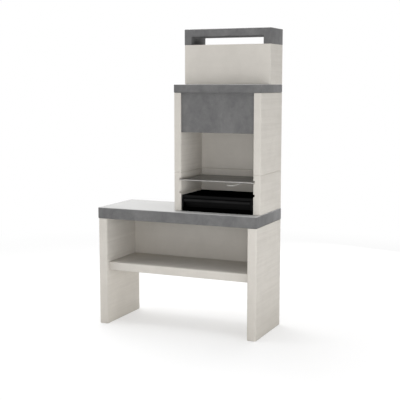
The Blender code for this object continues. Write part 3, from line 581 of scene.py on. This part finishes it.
# %% Drawer front
SHEET = 0.002
ROLL_TURN = math.radians(262)
ROLL_FACETS = 40
ROLL_CREASE = 50  # degrees: the edges between the roll's facets are blunter and get no bevel
LOW_SHARE = 0.3  # of the radius: how far under its axis the roll gets the painted highlight


def select_faces(piece, chosen):
    """Selects faces by a test, in edit mode."""
    mesh = bmesh.from_edit_mesh(piece.data)
    for face in mesh.faces:
        face.select_set(False)
    for face in mesh.faces:
        face.select_set(chosen(face))
    bmesh.update_edit_mesh(piece.data)


def make_drawer_front():
    low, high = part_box("ash_drawer_front")
    width, foot, back = high[0] - low[0], low[2], high[1]
    bpy.ops.object.select_all(action="DESELECT")
    bpy.ops.mesh.primitive_cube_add(
        size=1,
        location=((low[0] + high[0]) / 2, back - SHEET / 2, foot + SHEET / 2),
        scale=(width, SHEET, SHEET),
    )
    front = bpy.context.object
    front.name = "ash_drawer_front_finished"
    bpy.ops.object.transform_apply(location=True, rotation=True, scale=True)
    bpy.ops.object.mode_set(mode="EDIT")
    bpy.ops.mesh.select_mode(type="FACE")
    select_faces(front, lambda face: face.normal.z > 0.9)
    axis_height = high[2] - ROLL_RADIUS
    bpy.ops.mesh.extrude_region_move(TRANSFORM_OT_translate={"value": (0, 0, axis_height - foot - SHEET)})
    bpy.ops.mesh.spin(
        steps=ROLL_FACETS, angle=-ROLL_TURN, center=(0, back - ROLL_RADIUS, axis_height), axis=(1, 0, 0)
    )
    bpy.ops.mesh.select_all(action="SELECT")
    bpy.ops.mesh.remove_doubles(threshold=MERGE_DISTANCE)
    bpy.ops.mesh.normals_make_consistent(inside=False)
    bpy.ops.object.mode_set(mode="OBJECT")
    round_edges(front, FOLD_EDGE, angle=ROLL_CREASE)
    stand_for(front, "ash_drawer_front")
    # The panel takes the black whose painted highlight fades downwards, and the roll the grey of the painted
    # highlight.
    front.data.materials[0] = flat_black
    front.data.materials.append(roll_painted_highlight_black)
    for face in front.data.polygons:
        face.material_index = 1 if face.center.z > axis_height - ROLL_RADIUS * LOW_SHARE else 0
    return front


drawer_front = make_drawer_front()
front_corners = list(drawer_front.bound_box)[::6]
print("drawer front box:", [tuple(round(value, 4) for value in corner) for corner in front_corners])

# %% [markdown]
# The charcoal grate is one iron casting. Cast edges are round, and the ends of the slots most of all,
# so the copy gets a bevel of a millimetre and a half all over.

# %% Charcoal grate
CASTING_EDGE = 0.0015

grate = merged_copy("charcoal_grate")
round_edges(grate, CASTING_EDGE, segments=3)
stand_for(grate, "charcoal_grate")

# %% [markdown]
# The grill is bent from plated wire. A wire is made as it is bent in the workshop: it starts as a
# disc, each straight run is an extrusion and each bend is a spin about the bend's own centre. The
# frame closes on itself, so it starts as an open ring and its two ends are merged. Such a ring has no
# face, and in face select mode extrude would move it and leave no wire behind. The select mode stays
# as the last edit left it, so it is set here.

# %% Bent wires
WIRE_SIDES = 14
BEND_STEPS = 7


def bent_wire(name, corners, radius, closed=False):
    """Corners are places with their bend radius. An open wire's first and last have none."""
    count = len(corners)
    places = [Vector(place) for place, _ in corners]
    first = (places[0] + places[1]) / 2 if closed else places[0]
    way = (places[1] - places[0]).normalized()
    bpy.ops.object.select_all(action="DESELECT")
    bpy.ops.mesh.primitive_circle_add(
        vertices=WIRE_SIDES,
        radius=radius,
        fill_type="NOTHING" if closed else "NGON",
        location=first,
        rotation=way.to_track_quat("Z", "Y").to_euler(),
    )
    wire = bpy.context.object
    wire.name = name
    bpy.ops.object.mode_set(mode="EDIT")
    bpy.ops.mesh.select_mode(type="VERT")
    bpy.ops.mesh.select_all(action="SELECT")
    here = first
    for index in range(1, count + 1 if closed else count - 1):
        corner, bend = places[index % count], corners[index % count][1]
        before = (corner - here).normalized()
        after = (places[(index + 1) % count] - corner).normalized()
        angle = before.angle(after)
        start = corner - before * bend * math.tan(angle / 2)
        axis = before.cross(after).normalized()
        bpy.ops.mesh.extrude_region_move(TRANSFORM_OT_translate={"value": start - here})
        bpy.ops.mesh.spin(steps=BEND_STEPS, angle=-angle, center=start + axis.cross(before) * bend, axis=axis)
        here = corner + after * bend * math.tan(angle / 2)
    last = first if closed else places[-1]
    bpy.ops.mesh.extrude_region_move(TRANSFORM_OT_translate={"value": last - here})
    bpy.ops.mesh.select_all(action="SELECT")
    bpy.ops.mesh.remove_doubles(threshold=radius / 20)
    bpy.ops.mesh.normals_make_consistent(inside=False)
    bpy.ops.object.mode_set(mode="OBJECT")
    bpy.ops.object.transform_apply(location=True, rotation=True, scale=True)
    return wire


# %% Grill frame and its cross bars
FRAME_WIRE = 0.003
FRAME_BEND = 0.012
CROSS_WIRE = 0.0025
CROSS_END = 0.0004
END_CREASE = 60  # degrees: only the rim of a wire's end is bevelled

frame_low, frame_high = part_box("grill_frame")
side_left, side_right = frame_low[0] + FRAME_WIRE, frame_high[0] - FRAME_WIRE
frame_front, frame_back = frame_low[1] + FRAME_WIRE, frame_high[1] - FRAME_WIRE
frame_height = (frame_low[2] + frame_high[2]) / 2
frame_corners = [
    ((side_left, frame_front, frame_height), FRAME_BEND),
    ((side_right, frame_front, frame_height), FRAME_BEND),
    ((side_right, frame_back, frame_height), FRAME_BEND),
    ((side_left, frame_back, frame_height), FRAME_BEND),
]
stand_for(bent_wire("grill_frame_finished", frame_corners, FRAME_WIRE, closed=True), "grill_frame")


def straight_wire(node_name, axis, radius, end_bevel):
    """A straight wire in the place of a packed one, with its two ends softened."""
    low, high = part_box(node_name)
    middle = [(a + b) / 2 for a, b in zip(low, high)]
    turn = (0, math.pi / 2, 0) if axis == 0 else (math.pi / 2, 0, 0)
    bpy.ops.object.select_all(action="DESELECT")
    bpy.ops.mesh.primitive_cylinder_add(
        vertices=WIRE_SIDES, radius=radius, depth=high[axis] - low[axis], location=middle, rotation=turn
    )
    wire = bpy.context.object
    wire.name = node_name + "_finished"
    bpy.ops.object.transform_apply(location=True, rotation=True, scale=True)
    round_edges(wire, end_bevel, angle=END_CREASE)
    return wire


for node_name in ("grill_cross_bar_front", "grill_cross_bar_rear"):
    stand_for(straight_wire(node_name, 0, CROSS_WIRE, CROSS_END), node_name)

# %% [markdown]
# The handle is a bow of thinner wire under the front of the frame. Its arms leave the frame level,
# lean forward, down and towards each other, and the pull runs level between them.

# %% Grill handle
HANDLE_WIRE = 0.0025
HANDLE_PULL = 0.040
HANDLE_FLARE = 0.034
HANDLE_TAIL = 0.006
HANDLE_CORNER = 0.012
HANDLE_ELBOW = 0.010

handle_low, handle_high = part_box("grill_handle")
handle_middle = (handle_low[0] + handle_high[0]) / 2
handle_top = handle_high[2] - HANDLE_WIRE
handle_foot = handle_low[2] + HANDLE_WIRE
handle_tip = handle_low[1] + HANDLE_WIRE
elbow = frame_front - HANDLE_TAIL
near, far = HANDLE_PULL / 2, HANDLE_PULL / 2 + HANDLE_FLARE
handle_corners = [
    ((handle_middle - far, handle_high[1], handle_top), 0),
    ((handle_middle - far, elbow, handle_top), HANDLE_ELBOW),
    ((handle_middle - near, handle_tip, handle_foot), HANDLE_CORNER),
    ((handle_middle + near, handle_tip, handle_foot), HANDLE_CORNER),
    ((handle_middle + far, elbow, handle_top), HANDLE_ELBOW),
    ((handle_middle + far, handle_high[1], handle_top), 0),
]
handle = bent_wire("grill_handle_finished", handle_corners, HANDLE_WIRE)
stand_for(handle, "grill_handle")
print("handle front:", round(handle.bound_box[0][1], 4), "packed:", round(handle_low[1], 4))

# %% [markdown]
# The rods are one straight wire, modelled once. Each of the others is a copy with its own mesh, moved
# to the place of its packed rod.

# %% Grill rods
ROD_WIRE = 0.002
ROD_END = 0.0006
ROD_NAMES = sorted(name for name in frame["nodes"] if name.startswith("grill_rod_"))

first_rod = straight_wire(ROD_NAMES[0], 1, ROD_WIRE, ROD_END)
first_place = Vector(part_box(ROD_NAMES[0])[0])
rods = [first_rod]
for node_name in ROD_NAMES[1:]:
    rod = bpy.data.objects.new(node_name + "_finished", first_rod.data.copy())
    bpy.context.scene.collection.objects.link(rod)
    rod.data.transform(Matrix.Translation(Vector(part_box(node_name)[0]) - first_place))
    rods.append(rod)
for rod, node_name in zip(rods, ROD_NAMES):
    stand_for(rod, node_name)

# %% [markdown]
# The picture has a white floor that runs into a white background, and only the shadow shows where
# the floor is. For the light that bounces, the floor is a plain pale surface. The camera and the
# reflections see it lit too, but lifted by a share of white, and it turns to plain white a few
# metres away, as a studio sweep does. The world lights the object evenly, and is white where it is seen.

# %% Floor and world
WORLD_LEVEL = 0.35
FLOOR_SIZE = 80.0
FLOOR_ALBEDO = 0.85
FLOOR_SEEN_ALBEDO = 0.56
FLOOR_LIFT = 0.41
SWEEP_START = 1.6
SWEEP_END = 4.5


def seen_directly(tree):
    """1 for rays that come from the camera or from a shiny or clear surface, 0 for bounced light."""
    path = node(tree, "LightPath").outputs
    seen = arithmetic(tree, "MAXIMUM", path["Is Camera Ray"], path["Is Glossy Ray"])
    return arithmetic(tree, "MAXIMUM", seen, path["Is Transmission Ray"])


def make_world():
    world = bpy.data.worlds.new("studio")
    world.use_nodes = True
    tree = world.node_tree
    background = tree.nodes["Background"]
    background.inputs["Color"].default_value = grey(1)
    level = spread(tree, seen_directly(tree), 0.0, 1.0, WORLD_LEVEL, 1.0)
    tree.links.new(level, background.inputs["Strength"])
    bpy.context.scene.world = world


def blend_shaders(tree, kind, first, second, share=None):
    both = tree.nodes.new("ShaderNode" + kind)
    sockets = list(both.inputs)
    if share is not None:
        tree.links.new(share, sockets.pop(0))
    tree.links.new(first, sockets[0])
    tree.links.new(second, sockets[1])
    return both.outputs["Shader"]


def make_floor():
    bpy.ops.mesh.primitive_plane_add(size=FLOOR_SIZE)
    floor = bpy.context.object
    floor.name = "floor"
    material, tree, shader = new_material("floor_white")
    tree.nodes.remove(shader)
    bounce = node(tree, "BsdfDiffuse", Color=grey(FLOOR_ALBEDO)).outputs["BSDF"]
    lit = node(tree, "BsdfDiffuse", Color=grey(FLOOR_SEEN_ALBEDO)).outputs["BSDF"]
    lift = node(tree, "Emission", Strength=FLOOR_LIFT).outputs["Emission"]
    white = node(tree, "Emission", Strength=1.0).outputs["Emission"]
    distance = node(tree, "VectorMath", {"operation": "LENGTH"}, Vector=object_place(tree)).outputs["Value"]
    sweep = node(
        tree,
        "MapRange",
        {"interpolation_type": "SMOOTHSTEP"},
        Value=distance,
        From_Min=SWEEP_START,
        From_Max=SWEEP_END,
    ).outputs["Result"]
    seen = blend_shaders(tree, "AddShader", lit, lift)
    seen = blend_shaders(tree, "MixShader", seen, white, sweep)
    surface = blend_shaders(tree, "MixShader", bounce, seen, seen_directly(tree))
    tree.links.new(surface, tree.nodes["Material Output"].inputs["Surface"])
    floor.data.materials.append(material)


make_world()
make_floor()
print("world level:", WORLD_LEVEL)

# %% [markdown]
# Six large soft lamps stand around the object. One is overhead, and one is high behind it to the
# left, which throws the soft shadow forward and to the right. Two stand low in front and to the
# right: they light the fronts and the right-hand sides, and reach into the shelf and the hearth. One
# on the left and one low behind fill what the others leave dark.

# %% Lamps
LAMP_AIM = Vector((0, 0, 0.9))


def add_lamp(name, azimuth, height, distance, size, power):
    """A square lamp that looks at the object. Azimuth 0 is in front of it, and 90 to its right."""
    turn = math.radians(azimuth)
    place = Vector((math.sin(turn) * distance, -math.cos(turn) * distance, height))
    lamp_data = bpy.data.lights.new(name, "AREA")
    lamp_data.size = size
    lamp_data.energy = power
    lamp = bpy.data.objects.new(name, lamp_data)
    lamp.location = place
    lamp.rotation_euler = (LAMP_AIM - place).to_track_quat("-Z", "Y").to_euler()
    bpy.context.scene.collection.objects.link(lamp)
    print("lamp:", name, power, "W")


add_lamp("overhead", 0, 4.9, 0.0, 3.0, 110)
add_lamp("back_left", 225, 3.73, 2.83, 3.0, 68)
add_lamp("front_low", 20, 0.95, 3.5, 1.6, 25)
add_lamp("right_low", 70, 0.95, 3.5, 1.6, 25)
add_lamp("left", 285, 2.0, 3.5, 2.4, 40)
add_lamp("back_low", 165, 0.95, 3.5, 1.6, 36)
